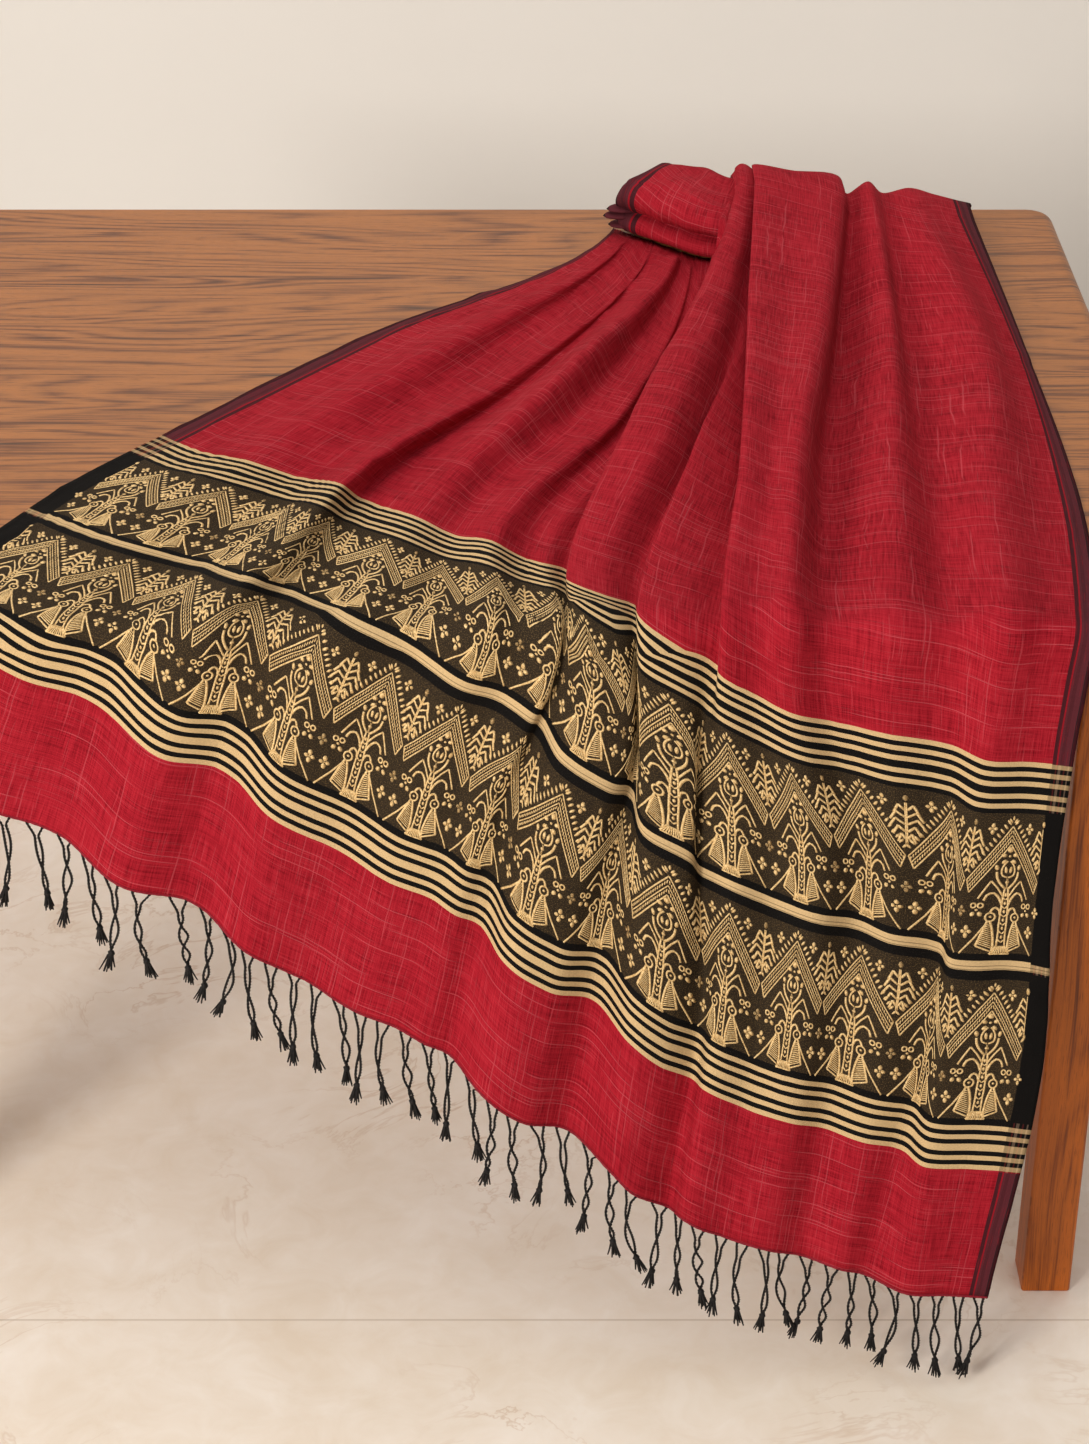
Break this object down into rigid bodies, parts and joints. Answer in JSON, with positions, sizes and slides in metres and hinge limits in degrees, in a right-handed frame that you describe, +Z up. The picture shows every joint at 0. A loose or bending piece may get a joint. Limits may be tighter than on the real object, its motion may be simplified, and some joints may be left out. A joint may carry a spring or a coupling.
{
  "type": "dupatta stole draped over a wooden table",
  "caption": "Woven dupatta stole with a knotted fringe, folded at one end and draped over the front edge of a plain wooden table.",
  "frame": {"origin": "middle of the whole part's bounding box, on the floor under the table", "axes": "+Z up from the floor, +Y from the table's front edge, where the cloth hangs, towards its back, +X to the right seen from the front"},
  "size_m": [1.387, 1.1595, 0.822],
  "materials": {
    "red_cloth": "matte",
    "woven_end": "matte",
    "folded_cloth": "matte",
    "fringe_thread": "matte",
    "walnut": "satin"
  },
  "bodies": {
    "root": {"hanging_stretch": "woven_end", "lying_stretch": "red_cloth", "pleated_stretch": "red_cloth", "folded_stack": "folded_cloth", "fringe_1": "fringe_thread", "fringe_2": "fringe_thread", "fringe_3": "fringe_thread", "fringe_4": "fringe_thread", "table_top": "walnut", "apron_front": "walnut", "apron_back": "walnut", "apron_left": "walnut", "apron_right": "walnut", "leg_front_left": "walnut", "leg_front_right": "walnut", "leg_back_left": "walnut", "leg_back_right": "walnut"}
  },
  "joints": []
}
